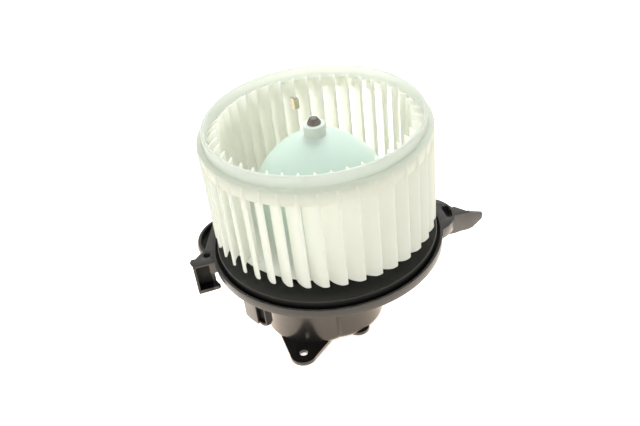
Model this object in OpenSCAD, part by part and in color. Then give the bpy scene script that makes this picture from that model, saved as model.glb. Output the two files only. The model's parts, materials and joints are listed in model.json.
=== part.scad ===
// Car cabin blower motor: a forward-curved fan wheel on a permanent-magnet motor.
// A round flange with three fixing points carries it, and a bowl closes the motor from below.
// The origin is the centre of the flange rim, level with its top edge.
// +Z is the shaft axis, towards the air inlet. +X runs through both flange ears, away from the bracket.

/* [Fan wheel] */
// Radius over the blade tips
wheel_r = 75; // [73:0.5:77]
// Number of blades
blade_count = 41; // [33:1:44]
// Radial depth of the blades
blade_depth = 13.5; // [12:0.5:14.5]
// Thickness of a blade
blade_t = 1.8; // [1.4:0.1:2.2]
// Angle by which a blade's tip leads its inner edge
blade_sweep = 10.3; // [9:0.1:11.5]
// Radius of the arc that a blade follows
blade_curve_r = 16; // [15:0.5:19]
// Angle at which one blade has its tip, from +X
blade_phase = -98.5; // [-103:0.5:-94]
// Height of the blades' lower ends above the flange rim
wheel_z = 13.5; // [12.5:0.5:16]
// Height from the blades' lower ends to the shoulder of the top ring
wheel_h = 71.8; // [68:0.1:74]
// Bevel on each blade's lower outer corner
blade_bevel = 1.3; // [0.5:0.1:2]
// Rise of each blade's inner top corner above the shoulder
blade_top_rise = 3.3; // [1:0.1:4.5]
// Height of the top ring's skirt, outside the blades
skirt_h = 10.3; // [8:0.1:13]
// Wall of the top ring
ring_t = 1.8; // [1.4:0.1:2.4]
// How far the ring stands proud of the blade tips
ring_proud = 0.25; // [0.15:0.05:0.5]
// Middle radius of the inlet lip
lip_r = 70; // [69:0.1:71]
// Wall of the inlet lip
lip_t = 2.2; // [1.8:0.1:2.6]
// Height of the inlet lip above the shoulder
lip_h = 8; // [5:0.5:10]

/* [Hub dome] */
// Radius of the dome where it turns out into the flare
dome_r = 46.3; // [44.5:0.1:48]
// Height of the dome's theoretical peak above the flange rim
dome_top_z = 80.7; // [78:0.1:82]
// Roundness of the dome's side: 2 is an ellipse, more is straighter
dome_side = 2.04; // [1.9:0.01:2.4]
// Roundness of the dome's crown: 2 is an ellipse, less is more pointed
dome_crown = 1.45; // [1.3:0.01:1.8]
// Wall of the dome and the base ring
hub_wall = 2.2; // [1.8:0.1:2.6]
// Radius of the base ring, inside the blade tips
base_ring_r = 67; // [65:0.5:69]
// Radius of the boss on the dome
boss_r = 7; // [6:0.5:8]
// Height of the boss top above the dome's peak
boss_h = 6; // [4:0.5:8]
// Radius of the sleeve that carries the bore on, inside the dome
sleeve_r = 5.8; // [5:0.1:6.5]
// Length of the wheel's bore, from the boss top down
bore_len = 27; // [22:1:32]
// Number of gussets between the sleeve and the dome
gusset_count = 6; // [4:1:8]
// Thickness of a gusset
gusset_t = 1.6; // [1.2:0.1:2]

/* [Shaft and clips] */
// Radius of the motor shaft
shaft_r = 3; // [2.8:0.1:3.5]
// Radius of the reduced end that the retainer grips
shaft_end_r = 2; // [1.8:0.1:2.3]
// Length of the reduced end
shaft_end_len = 6.6; // [6:0.1:8]
// How far the shaft stands above the boss
shaft_stand = 3.9; // [3.6:0.1:5]
// Radius of the retainer at its foot
retainer_r = 4.4; // [4:0.1:5]
// Radius of the retainer at its top
retainer_top_r = 2.8; // [2.6:0.1:3.2]
// Height of the retainer
retainer_h = 3.5; // [3:0.1:3.6]
// Width of the balance clip, along the blade's edge
clip_w = 7.4; // [5:0.1:9]
// Height of the balance clip's middle above the flange rim
clip_z = 70.3; // [50:0.1:74]
// Sheet thickness of the balance clip
clip_t = 0.7; // [0.5:0.1:0.9]
// Angle of the balance clip's arms round the blade's arc
clip_reach = 17; // [12:1:22]
// Which blade, counted from the phase, carries the balance clip
clip_blade = 23; // [0:1:32]

/* [Flange] */
// Radius of the flange rim
flange_r = 80; // [79.5:0.1:81]
// Height of the rim band
band_h = 6.1; // [5.8:0.1:7]
// Width of the outer lip
rim_w = 2; // [1.6:0.1:2.2]
// Depth of the seal groove behind the lip
groove_depth = 3.2; // [2.5:0.1:3.4]
// Width of the seal groove
groove_w = 2; // [1.6:0.1:2.4]
// Height of the raised face above the rim
face_z = 3.76; // [3:0.01:4.5]
// Width of the raised face
face_w = 16; // [15:0.5:18]
// Wall of the flange moulding
flange_wall = 2.4; // [2:0.1:2.6]
// Depth of the sunk floor below the rim
floor_depth = 5.6; // [5:0.1:6]
// Height of the motor collar above the rim
collar_z = 3; // [2:0.5:5]
// Number of stiffening ribs under the raised face
rib_count = 12; // [12:12:24]
// Thickness of a stiffening rib
rib_t = 1.8; // [1.4:0.1:2.2]

/* [Ears and brackets] */
// Distance from the rim to the hole in the left ear
ear_left_out = 4.3; // [4:0.1:5]
// Distance from the rim to the hole in the right ear
ear_right_out = 6.2; // [5.8:0.1:6.6]
// Radius of both ear holes
ear_hole_r = 2.6; // [2.2:0.1:2.8]
// Thickness of the left ear
ear_t = 5.8; // [5.7:0.1:6]
// Radius of the boss under the right ear's hole
ear_boss_r = 5.2; // [4.9:0.1:5.6]
// Length of that boss
ear_boss_h = 11; // [9:0.5:14]
// Radius of the right ear's round hood
hood_r = 21.2; // [20.8:0.1:22]
// Depth of the recess round the right ear's hole
hood_recess = 4.8; // [3:0.1:5.4]
// Distance from the left ear's hole to the wiring bracket's far corner
bracket_out = 12.3; // [11:0.1:14]
// Height of the wiring bracket
bracket_h = 22.7; // [18:0.1:26]
// Distance from the X axis to the bracket's open front
bracket_front = 11.4; // [10:0.1:12]
// Wall of the wiring bracket
bracket_wall = 1.6; // [1.3:0.1:1.8]
// Thickness of the bracket's roof
roof_t = 1.2; // [1:0.1:1.8]
// Thickness of the bracket's sill
sill_h = 2.7; // [2:0.1:4]

/* [Plug socket] */
// Outside width of the plug socket on the bowl
plug_w = 14; // [13:0.1:16]
// Outside height of the plug socket
plug_h = 10; // [8:0.1:11]
// How far the plug socket reaches out of the bowl
plug_reach = 14; // [12:0.5:16]
// Wall of the plug socket
plug_wall = 1.6; // [1.3:0.1:1.8]
// Width of a terminal strip
strip_w = 4; // [3:0.1:4.4]
// Thickness of a terminal strip
strip_t = 0.8; // [0.6:0.1:0.9]
// Distance between the middles of the two strips
strip_pitch = 6; // [5.4:0.1:6.2]
// Length of a terminal tab inside the socket
tab_len = 8; // [6:0.5:10]

/* [Wing and post] */
// Distance from the rim to the wing's tip
wing_out = 30.9; // [27:0.1:33]
// Height of the wing at its root
wing_h = 17.6; // [16.8:0.1:19]
// Thickness of the wing
wing_t = 2.6; // [2:0.1:3.2]
// Distance from the X axis to the wing's front face
wing_front = 7; // [6.5:0.1:8]
// Angle of the hanging post, from +X
post_angle = 225; // [223:0.2:227]
// Distance from the rim in to the post's middle
post_in = 5; // [4.8:0.1:5.6]
// Radius of the post
post_r = 4.3; // [4:0.1:4.6]
// Length of the post below the rim band
post_h = 17; // [14:0.5:22]
// Width of the slot in the post
post_slot = 1.5; // [1:0.1:1.8]
// Width of the fin beside the post
fin_w = 9.4; // [6:0.1:11]

/* [Cooling-air inlet] */
// Angle of the inlet lobe, from +X
lobe_angle = 165; // [163:0.5:166]
// Distance from the rim in to the middle of the lobe's arc
lobe_in_by = 17; // [16:0.1:18]
// Radius of the lobe
lobe_r = 29.5; // [28.5:0.1:30.5]
// Depth of the lobe's outer wall
lobe_depth = 9; // [8:0.5:11]
// Distance from the rim to the straight edge of the mouth
mouth_out = 4.2; // [4:0.1:5]
// Wall of the lobe beside the mouth
lobe_rim = 3; // [2.4:0.1:3.2]
// Inside width of the air channel under the flange
channel_w = 24; // [20:0.5:26]
// Inside height of the air channel
channel_h = 11.8; // [9:0.1:14]
// Wall of the air channel
channel_wall = 2; // [1.6:0.1:2.4]

/* [Motor bowl] */
// Outer radius of the bowl round the motor
bowl_r = 36; // [35.6:0.1:37]
// Depth of the bowl's flat bottom below the rim
bowl_depth = 71; // [70:0.5:73]
// Wall of the bowl
bowl_wall = 2.2; // [1.8:0.1:2.3]
// Radius of the bowl's bottom edge
bowl_edge_r = 6; // [4:0.5:7]
// Outer radius of the air duct beside the motor
duct_r = 36.4; // [36.3:0.1:37]
// Distance from the axis to the middle of the air duct
duct_at = 15.1; // [14:0.1:15.6]
// Angle at which the air duct lies, from +X
duct_angle = 185.7; // [183:0.1:188]
// Angle of the upright rib on the bowl, from the duct
rib_angle = 78.8; // [74:0.2:82]
// Distance from the raised face's inner edge in to the bowl's fixing ring
fix_ring_in = 3; // [2:0.5:4]
// Thickness of the fixing ring
fix_ring_t = 2.5; // [2:0.1:3]
// Distance from the fixing ring's edge in to the cover screws
screw_in = 4.8; // [4.4:0.1:5.2]
// Angle of the first of the three cover screws, from +X
screw_first = 20; // [16:1:24]
// Angle of the mounting lug, from +X
lug_angle = 233.9; // [231:0.1:236]
// Distance from the axis to the lug's hole
lug_at = 53.5; // [52:0.1:55]
// Radius of the lug's hole
lug_hole_r = 2.9; // [2.4:0.1:3.2]
// Radius of the lug's tip
lug_tip_r = 9.6; // [9:0.1:10.2]
// Thickness of the lug
lug_t = 3; // [2.6:0.1:4]
// Radius of the small foot's end
foot_r = 8.3; // [7:0.1:9]
// Distance from the axis to the middle of the foot's end
foot_at = 28.9; // [28:0.1:29.5]
// Angle of the small foot, from +X
foot_angle = 293.5; // [290:0.5:298]

/* [Motor] */
// Outer radius of the motor can
can_r = 31; // [30.4:0.1:31.2]
// Wall of the motor can
can_t = 1.6; // [1.4:0.1:1.8]
// Height of the can's closed end above the rim
can_top_z = 20; // [18:0.5:21]
// Depth of the can's open end below the rim
can_depth = 54; // [53:0.5:54.5]
// Radius of both sleeve bearings
bearing_r = 7; // [6.5:0.1:7.4]
// Length of both sleeve bearings
bearing_len = 7.6; // [6.5:0.1:7.8]
// Thickness of a bearing retainer
retainer_t = 0.8; // [0.6:0.1:1]
// Thickness of the magnets
magnet_t = 4.5; // [4:0.1:4.8]
// Length of the magnets
magnet_len = 44; // [38:1:46]
// Angle that one magnet covers
magnet_angle = 126; // [110:1:130]
// Air gap between the magnets and the armature
air_gap = 0.9; // [0.7:0.1:1.2]
// Length of the lamination stack
stack_len = 40; // [34:1:40]
// Depth of the stack's middle below the rim
stack_depth = 14; // [13:0.5:14]
// Number of winding slots
slot_count = 12; // [10:2:12]
// Radius of a winding slot
slot_r = 3.3; // [2.8:0.1:3.5]
// Height of the winding's end turns
end_turn_h = 8; // [6:0.5:8]
// Radius of the commutator
comm_r = 11; // [10:0.5:11.5]
// Length of the commutator
comm_len = 8.6; // [7.5:0.1:8.8]
// Width of a brush
brush_w = 8; // [7:0.5:9]
// Height of a brush
brush_h = 6; // [5.5:0.1:6.2]
// Length of a brush
brush_len = 10; // [9:0.5:10]
// Thickness of the end cap's plate
cap_t = 4; // [3.5:0.1:4.5]
// Length of both rubber isolators
isolator_h = 8; // [6:0.5:8]

/* [Fits] */
// Radial play of the shaft in its bearings
shaft_play = 0.04; // [0.02:0.01:0.08]
// Gap between pieces that are glued, pressed or screwed together
seat_gap = 0.1; // [0.05:0.05:0.15]
// Gap between a brush and the commutator, and round a brush in its holder
brush_gap = 0.1; // [0.1:0.02:0.14]
// Gap between the flange and the bowl's duct
joint_gap = 0.3; // [0.2:0.1:0.4]

/* [Hidden] */
$fn = 96;

// Heights of the wheel
blade_inner_r = wheel_r - blade_depth;
shoulder_z = wheel_z + wheel_h;
skirt_z = shoulder_z - skirt_h;
web_z = shoulder_z - ring_t;
lip_z = shoulder_z + lip_h;
lip_in = lip_r - lip_t / 2;
lip_out = lip_r + lip_t / 2;
ring_r = wheel_r + ring_proud;

// Flare between the dome and the base ring
flare_r = blade_inner_r - dome_r;
flare_z = wheel_z + hub_wall + flare_r;
dome_h = dome_top_z - flare_z;
dome_steps = 22;
dome_end = 78;

// Shaft and boss heights
boss_top_z = dome_top_z + boss_h;
shaft_top_z = boss_top_z + shaft_stand;
shaft_step_z = shaft_top_z - shaft_end_len;
bore_r = shaft_r + shaft_play;
bore_z = boss_top_z - bore_len;

// Centre and angles of the arc that a blade follows, with its inner edge at angle 0
blade_root = [blade_inner_r, 0];
blade_tip = polar(wheel_r, blade_sweep);
blade_chord = blade_tip - blade_root;
blade_half = norm(blade_chord) / 2;
blade_side = [-blade_chord[1], blade_chord[0]] / norm(blade_chord);
blade_rise = sqrt(pow(blade_curve_r, 2) - pow(blade_half, 2));
blade_centre = (blade_root + blade_tip) / 2 + blade_side * blade_rise;
root_angle = bearing_of(blade_root - blade_centre);
tip_angle = bearing_of(blade_tip - blade_centre);
blade_pitch = 360 / blade_count;

// Flange section
rim_in = flange_r - rim_w;
face_r = rim_in - groove_w;
face_inner_r = face_r - face_w;
floor_z = -floor_depth;
floor_low = floor_z - flange_wall;
under_face_z = face_z - flange_wall;
under_r = face_r - flange_wall;
step_r = face_inner_r + flange_wall;
collar_in = bowl_r - bowl_wall;
weld = 0.3;

// Ears, wing and post
ear_left = flange_r + ear_left_out;
ear_right = flange_r + ear_right_out;
ear_top = -0.2;
ear_cut_r = flange_r - rim_w / 2;
eye_wall = 1.3;
hood_at = [ear_right - 16.7, -2];
hood_wall = 1.4;
hood_h = 8;
bracket_far = ear_left + bracket_out;
bracket_back = 2.8;
wing_far = flange_r + wing_out;
post_at = flange_r - post_in;

// Lobe and air channel
lobe_at = flange_r - lobe_in_by;
mouth_at = flange_r + mouth_out;
lobe_in = under_r + 0.5;
lobe_low = lobe_depth + 7;
channel_top = floor_low - 0.2;
channel_low = channel_top - channel_h;
channel_end = flange_r + 4;
channel_from = bowl_r - 6;

// Plug socket, and the strips from the end cap into it
strip_z = -can_depth - 2.4;
strip_from = can_r - 2.4;
strip_to = bowl_r + plug_wall + tab_len;
plug_z = strip_z - strip_t / 2;
plug_end = bowl_r + plug_reach;

// Bowl
bowl_low = -bowl_depth;
bowl_floor = bowl_low + bowl_wall;
inner_edge = bowl_edge_r - bowl_wall;
duct_low = bowl_low + 0.25;
duct_centre = polar(duct_at, duct_angle);
duct_half = bowl_r - 0.1;
lug_low = bowl_low + 0.4;
window_low = bowl_floor + inner_edge + 1;
window_top = strip_z + 3;
fix_ring_r = face_inner_r - fix_ring_in;
screw_at = fix_ring_r - screw_in;
screw_angles = [screw_first, screw_first + 90, screw_first + 210];
screw_hole_r = 2;
screw_pilot_r = 1.6;
screw_boss_r = 4.2;
screw_boss_z = floor_z + 4.4;

// Motor
can_in = can_r - can_t;
can_low = -can_depth;
can_roof = can_top_z - can_t;
pocket_r = bearing_r + seat_gap / 2;
pocket_wall = 1.8;
magnet_out = can_in - seat_gap;
magnet_in = magnet_out - magnet_t;
magnet_mid = -stack_depth;
stack_r = magnet_in - air_gap;
stack_low = -stack_depth - stack_len / 2;
stack_top = stack_low + stack_len;
slot_at = stack_r - slot_r - 2.6;
coil_in = shaft_r + 6;
coil_out = slot_at + slot_r + 1;
coil_gap = 0.3;
cap_low = can_low - cap_t;
cap_top = can_low + 1;
cap_boss_low = cap_low - 8;
lower_bearing_z = cap_boss_low + 1;
comm_low = cap_top + 1;
comm_top = comm_low + comm_len;
brush_z = comm_low + comm_len / 2;
brush_from = comm_r + brush_gap;
brush_end = brush_from + brush_len;
holder_wall = 0.8;
holder_from = comm_r + 1.8;
holder_to = can_in - 1.4;
spring_end = holder_to - holder_wall - seat_gap;
spring_r = 2.2;
spring_wire_r = 0.3;
isolator_in = can_r + seat_gap;
isolator_out = collar_in - seat_gap;
isolator_low_z = -50;

function polar(r, a) = [r * cos(a), r * sin(a)];
function bearing_of(v) = atan2(v[1], v[0]);

// A block between two opposite corners
module block(low, high) {
    translate(low) cube(high - low);
}

// A tube round the Z axis between two heights
module tube(r_out, r_in, low, high) {
    translate([0, 0, low]) difference() {
        cylinder(r = r_out, h = high - low);
        translate([0, 0, -1]) cylinder(r = r_in, h = high - low + 2);
    }
}

// A plain round bar or hole along Z at a place in plan
module post_at_point(at, r, low, high) {
    translate([at[0], at[1], low]) cylinder(r = r, h = high - low);
}

// Plan of a blade's arc, widened by a margin on each side, between two angles of that arc
module blade_arc(margin, from_angle, to_angle) {
    reach = 2 * blade_curve_r;
    translate(blade_centre) intersection() {
        difference() {
            circle(r = blade_curve_r + blade_t / 2 + margin);
            circle(r = blade_curve_r - blade_t / 2 - margin);
        }
        polygon([
            [0, 0],
            polar(reach, from_angle),
            polar(reach, (from_angle + to_angle) / 2),
            polar(reach, to_angle)
        ]);
    }
}

// Side view of a blade, as radius and height
module blade_side_view() {
    polygon([
        [blade_inner_r, wheel_z],
        [wheel_r - blade_bevel, wheel_z],
        [wheel_r, wheel_z + blade_bevel],
        [wheel_r, web_z + ring_t / 2],
        [lip_r, web_z + ring_t / 2],
        [blade_inner_r, shoulder_z + blade_top_rise]
    ]);
}

// All blades: curved walls trimmed to the side view
module blades() {
    intersection() {
        translate([0, 0, wheel_z - 1]) linear_extrude(height = wheel_h + lip_h)
            for (i = [0:blade_count - 1])
                rotate(blade_phase - blade_sweep + i * blade_pitch)
                    blade_arc(0, root_angle - 8, tip_angle);
        rotate_extrude() blade_side_view();
    }
}

// Top ring: a skirt outside the blades, a shoulder, and a raised inlet lip
module top_ring_section() {
    edge = 0.8;
    polygon([
        [wheel_r - ring_t, skirt_z],
        [ring_r, skirt_z],
        [ring_r, shoulder_z - edge],
        [ring_r - edge, shoulder_z],
        [lip_out, shoulder_z],
        [lip_out, lip_z - lip_t / 2],
        [lip_in, lip_z - lip_t / 2],
        [lip_in, web_z],
        [wheel_r - 2 * ring_t, web_z],
        [wheel_r - ring_t, web_z - ring_t]
    ]);
    translate([lip_r, lip_z - lip_t / 2]) circle(r = lip_t / 2, $fn = 32);
}

// A point on the dome, moved inwards by a share of the wall
function dome_point(angle, inset) = [
    (dome_r - inset) * pow(cos(angle), 2 / dome_crown),
    flare_z + (dome_h - inset) * pow(sin(angle), 2 / dome_side)
];

// Dome wall, from the flare up to the boss
module dome_section() {
    angles = [for (i = [0:dome_steps]) dome_end * i / dome_steps];
    outside = [for (a = angles) dome_point(a, 0)];
    inside = [for (i = [dome_steps:-1:0]) dome_point(angles[i], hub_wall)];
    polygon(concat(outside, inside));
}

// Flare from the dome out to the blades, and the flat base ring below them
module flare_section() {
    intersection() {
        translate([blade_inner_r, flare_z]) difference() {
            circle(r = flare_r + hub_wall);
            circle(r = flare_r);
        }
        translate([dome_r - hub_wall, wheel_z]) square([flare_r + hub_wall, flare_r + hub_wall]);
    }
    translate([blade_inner_r, wheel_z]) square([base_ring_r - blade_inner_r, hub_wall]);
}

// Gusset between the sleeve and the inside of the dome
module gusset() {
    mid = hub_wall / 2;
    rotate([90, 0, 0]) translate([0, 0, -gusset_t / 2]) linear_extrude(height = gusset_t)
        polygon([
            [sleeve_r - 0.8, bore_z + 3],
            [sleeve_r - 0.8, dome_top_z - 5],
            dome_point(66, mid),
            dome_point(56, mid),
            dome_point(48, mid)
        ]);
}

module fan_wheel() {
    color([0.9, 0.92, 0.86]) difference() {
        union() {
            blades();
            rotate_extrude() top_ring_section();
            rotate_extrude() dome_section();
            rotate_extrude() flare_section();
            translate([0, 0, dome_top_z - boss_h]) cylinder(r = boss_r, h = 2 * boss_h);
            translate([0, 0, bore_z]) cylinder(r = sleeve_r, h = bore_len - boss_h);
            for (i = [0:gusset_count - 1]) rotate(i * 360 / gusset_count) gusset();
        }
        translate([0, 0, bore_z - 1]) cylinder(r = bore_r, h = shaft_step_z + seat_gap - bore_z + 1);
        translate([0, 0, bore_z]) cylinder(r = shaft_end_r + seat_gap, h = bore_len + 1);
    }
}

module rotor_shaft() {
    tip = 0.6;
    color("silver") rotate_extrude() polygon([
        [0, lower_bearing_z + tip],
        [shaft_r - tip, lower_bearing_z + tip],
        [shaft_r, lower_bearing_z + 2 * tip],
        [shaft_r, shaft_step_z],
        [shaft_end_r, shaft_step_z],
        [shaft_end_r, shaft_top_z - tip],
        [shaft_end_r - tip, shaft_top_z],
        [0, shaft_top_z]
    ]);
}

// Push-on retainer: a sprung metal cone that grips the shaft end
module shaft_retainer() {
    foot = 0.9;
    hole = shaft_end_r + shaft_play;
    color("gray") rotate_extrude() polygon([
        [hole, boss_top_z],
        [retainer_r, boss_top_z],
        [retainer_r, boss_top_z + foot],
        [retainer_top_r, boss_top_z + retainer_h],
        [hole, boss_top_z + retainer_h]
    ]);
}

// U-shaped clip pushed over one blade's inner edge, to balance the wheel
module balance_clip() {
    play = 0.12;
    heel = 1.4;
    color([0.55, 0.48, 0.4])
        rotate(blade_phase - blade_sweep + clip_blade * blade_pitch)
            translate([0, 0, clip_z - clip_w / 2]) linear_extrude(height = clip_w) difference() {
                blade_arc(play + clip_t, root_angle - heel - clip_t * 4, root_angle + clip_reach);
                blade_arc(play, root_angle - heel, root_angle + clip_reach + 5);
            }
}

// Flange section: rim band, seal groove, raised face, sunk floor and motor collar
module flange_section() {
    edge = 0.4;
    polygon([
        [flange_r, -band_h],
        [flange_r, 0],
        [rim_in + edge, 0],
        [rim_in, -edge],
        [rim_in, -groove_depth],
        [face_r, -groove_depth],
        [face_r, face_z - edge],
        [face_r - edge, face_z],
        [face_inner_r, face_z],
        [face_inner_r, floor_z],
        [bowl_r, floor_z],
        [bowl_r, collar_z],
        [collar_in, collar_z],
        [collar_in, floor_low],
        [step_r, floor_low],
        [step_r, under_face_z],
        [under_r, under_face_z],
        [under_r, -band_h]
    ]);
}

// Lobe section, round its own axis
module lobe_section(inset) {
    bulge = 0.6;
    polygon([
        [0, -inset],
        [lobe_r - 2 * bulge - inset, -inset],
        [lobe_r - bulge / 2 - inset, -inset - 2 * bulge],
        [lobe_r - inset, -lobe_depth / 3],
        [lobe_r - bulge - inset, -2 * lobe_depth / 3 + inset / 4],
        [lobe_r - 3 - inset, -lobe_depth + inset],
        [lobe_r / 2, -lobe_low + inset],
        [0, -lobe_low + inset]
    ]);
}

// Cooling-air lobe outside the rim: a shell that reaches in under the rim band
module lobe_body() {
    rotate(lobe_angle) difference() {
        intersection() {
            translate([lobe_at, 0, 0]) rotate_extrude() lobe_section(0);
            block([lobe_in, -lobe_r - 1, -lobe_low - 1], [lobe_at + lobe_r + 1, lobe_r + 1, 1]);
        }
        translate([0, 0, -band_h + weld]) cylinder(r = flange_r - rim_w / 2, h = 2 * band_h);
    }
}

// Inside of the lobe, and its lens-shaped mouth in the top
module lobe_hollow() {
    rotate(lobe_angle) {
        difference() {
            intersection() {
                translate([lobe_at, 0, 0]) rotate_extrude() lobe_section(channel_wall);
                block([lobe_in + channel_wall, -lobe_r, -lobe_low], [lobe_at + lobe_r, lobe_r, 1]);
            }
            translate([0, 0, -band_h - weld]) cylinder(r = flange_r + weld, h = 2 * band_h);
        }
        intersection() {
            translate([lobe_at, 0, -lobe_depth / 2]) cylinder(r = lobe_r - lobe_rim, h = lobe_depth);
            block([mouth_at, -lobe_r, -lobe_depth / 2 - 1], [lobe_at + lobe_r, lobe_r, lobe_depth]);
        }
    }
}

// Air channel under the floor, from the lobe to the bowl's duct
module channel_body() {
    half = channel_w / 2 + channel_wall;
    low = channel_low - channel_wall;
    difference() {
        rotate(lobe_angle) block([channel_from, -half, low], [channel_end, half, -band_h + weld]);
        post_at_point(duct_centre, duct_r + joint_gap, low - 1, 0);
    }
}

module channel_hollow() {
    half = channel_w / 2;
    rotate(lobe_angle)
        block([channel_from, -half, channel_low], [channel_end - channel_wall, half, channel_top]);
}

// Left ear: a plate that runs out into the roof of a C-shaped wiring bracket
module left_ear() {
    far = -bracket_far;
    back = -bracket_back;
    wall_front = back - bracket_wall;
    near = -ear_left + 2.8;
    step_low = -9.5;
    step_w = 4.7;
    difference() {
        union() {
            translate([0, 0, -roof_t]) linear_extrude(height = roof_t + ear_top) polygon([
                [-face_r, -bracket_front + 2.1],
                [-ear_left + 3.8, -bracket_front + 2.1],
                [far + 2.4, -bracket_front + 0.4],
                [far, back - 2],
                [far + 1.2, back + 1.4],
                [-face_r, back + 1.4]
            ]);
            translate([0, 0, -ear_t]) linear_extrude(height = ear_t + ear_top - 0.3) polygon([
                [-face_r, wall_front + 0.4],
                [far + 4.3, wall_front + 0.4],
                [far + 4.3, back + 1.8],
                [-ear_left - 4.2, 3.7],
                [-face_r, 9]
            ]);
            translate([0, 0, ear_top - 1]) linear_extrude(height = 1) polygon([
                [-face_r, back],
                [far + 4.2, back],
                [far + 4.2, back + 1.7],
                [-ear_left - 4.2, 3.6],
                [-face_r, 8.8]
            ]);
            translate([0, 0, -bracket_h]) linear_extrude(height = bracket_h - roof_t / 2) polygon([
                [far + 2, -bracket_front],
                [far + 1.2, wall_front - 0.2],
                [far + 1.2, back],
                [near, back],
                [near, wall_front],
                [far + 1.2 + bracket_wall, wall_front],
                [far + 2 + bracket_wall, -bracket_front]
            ]);
            translate([0, 0, -bracket_h - 0.2]) linear_extrude(height = sill_h) polygon([
                [far + 1.7, back - 0.4],
                [far + 2.2, -bracket_front - 0.8],
                [-ear_left + 3.8, -bracket_front + 1],
                [-ear_left + 5.2, -bracket_front + 2.4],
                [near - 0.4, back - 0.4]
            ]);
            block(
                [-ear_left, -bracket_front + 2.6, step_low],
                [-ear_left + step_w, wall_front + 1, -roof_t / 2]
            );
        }
        translate([0, 0, -band_h - 4]) cylinder(r = ear_cut_r, h = 2 * band_h + 4);
    }
}

// Right ear: a plate with a round recessed hood, and the locating wing beside it
module right_ear() {
    plate_top = -1.2;
    plate_t = 3;
    difference() {
        union() {
            post_at_point([ear_right, 0], ear_boss_r, -ear_boss_h, plate_top - 1);
            post_at_point(hood_at, hood_r, -hood_h, ear_top);
            translate([0, 0, plate_top - plate_t]) linear_extrude(height = plate_t) polygon([
                [face_r, -wing_front + 0.4],
                [wing_far - 9.4, -wing_front + 0.4],
                [ear_right + 7.3, 2.5],
                [ear_right + 2, ear_boss_r + 1],
                [face_r, ear_boss_r + 10]
            ]);
            translate([0, -wing_front + wing_t, 0]) rotate([90, 0, 0])
                linear_extrude(height = wing_t) wing_side_view();
        }
        intersection() {
            post_at_point(hood_at, hood_r - hood_wall, ear_top - hood_recess, 1);
            block([ear_right - 2.2, -9.5, -hood_h], [ear_right + 10, 4, 2]);
        }
        post_at_point([ear_right, 0], ear_hole_r, -ear_boss_h - 1, 1);
        post_at_point([ear_right + 5.6, 3.4], 0.9, -hood_h, 1);
        translate([0, 0, -wing_h - 1]) cylinder(r = ear_cut_r, h = wing_h + 2);
    }
}

// Side view of the locating wing, as distance along X and height
module wing_side_view() {
    top = -1.4;
    polygon([
        [face_r + 1, top],
        [wing_far - 9.9, top],
        [wing_far, -wing_h + 13],
        [wing_far - 0.2, -wing_h + 8.9],
        [wing_far - 3.8, -wing_h + 5.5],
        [wing_far - 7.1, -wing_h + 2.4],
        [wing_far - 10.2, -wing_h + 1.2],
        [wing_far - 15.5, -wing_h + 1],
        [wing_far - 20.1, -wing_h],
        [face_r + 1, -wing_h]
    ]);
}

// Slotted post that hangs from the rim band, with a flat fin on its left
module hanging_post() {
    low = -band_h - post_h;
    high = -band_h + 0.5;
    fin_end = -post_r - fin_w;
    edge = 1.6;
    rotate(post_angle) {
        difference() {
            translate([post_at, 0, 0]) rotate_extrude() polygon([
                [0, low],
                [post_r - edge, low],
                [post_r - edge / 3, low + edge / 3],
                [post_r, low + edge],
                [post_r, high],
                [0, high]
            ]);
            block(
                [post_at - post_r - 1, 1.1, low + 3],
                [post_at + post_r + 1, 1.1 + post_slot, -band_h - 1]
            );
            block(
                [post_at + 1, -post_r + 1.2, low + 3],
                [post_at + post_r + 1, 1.2, -band_h - 1]
            );
        }
        intersection() {
            tube(flange_r - 0.8, flange_r - 2.6, low, high);
            rotate([90, 0, 90]) translate([0, 0, post_at - post_r]) linear_extrude(height = 2 * post_r + 4)
                polygon([
                    [fin_end, high + 1],
                    [fin_end, low + 3.2],
                    [-post_r, low + 0.6],
                    [-post_r + 1.1, low + 0.6],
                    [-post_r + 1.1, high + 1]
                ]);
        }
    }
}

module flange_housing() {
    color([0.12, 0.12, 0.12]) difference() {
        union() {
            difference() {
                union() {
                    rotate_extrude() flange_section();
                    lobe_body();
                    channel_body();
                    for (a = screw_angles)
                        post_at_point(polar(screw_at, a), screw_boss_r, floor_low, screw_boss_z);
                    for (i = [0:rib_count - 1])
                        rotate((i + 0.5) * 360 / rib_count)
                            block(
                                [step_r - 1, -rib_t / 2, -band_h + weld],
                                [under_r + 1, rib_t / 2, under_face_z + 1]
                            );
                }
                lobe_hollow();
                channel_hollow();
                for (a = screw_angles)
                    post_at_point(polar(screw_at, a), screw_pilot_r, floor_low - 1, screw_boss_z + 1);
            }
            left_ear();
            post_at_point([-ear_left, 0], ear_hole_r + eye_wall, -lobe_depth - 0.7, -ear_t / 2);
            right_ear();
            hanging_post();
        }
        post_at_point([-ear_left, 0], ear_hole_r, -lobe_low - 2, 1);
    }
}

// Half section of a round pot with a rounded bottom edge
module pot_section(r, low, edge, top) {
    translate([0, low + edge]) square([r, top - low - edge]);
    translate([0, low]) square([r - edge, edge + weld]);
    translate([r - edge, low + edge]) circle(r = edge);
}

// Fixing ring on top of the bowl, notched round the air channel
module fix_ring() {
    low = floor_low - fix_ring_t;
    half = channel_w / 2 + channel_wall + joint_gap;
    difference() {
        post_at_point([0, 0], fix_ring_r, low, floor_low);
        difference() {
            rotate(lobe_angle) block([channel_from, -half, low - 1], [fix_ring_r + 2, half, floor_low + 1]);
            post_at_point(duct_centre, duct_r - 0.5, low - 2, floor_low + 2);
        }
    }
}

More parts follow.
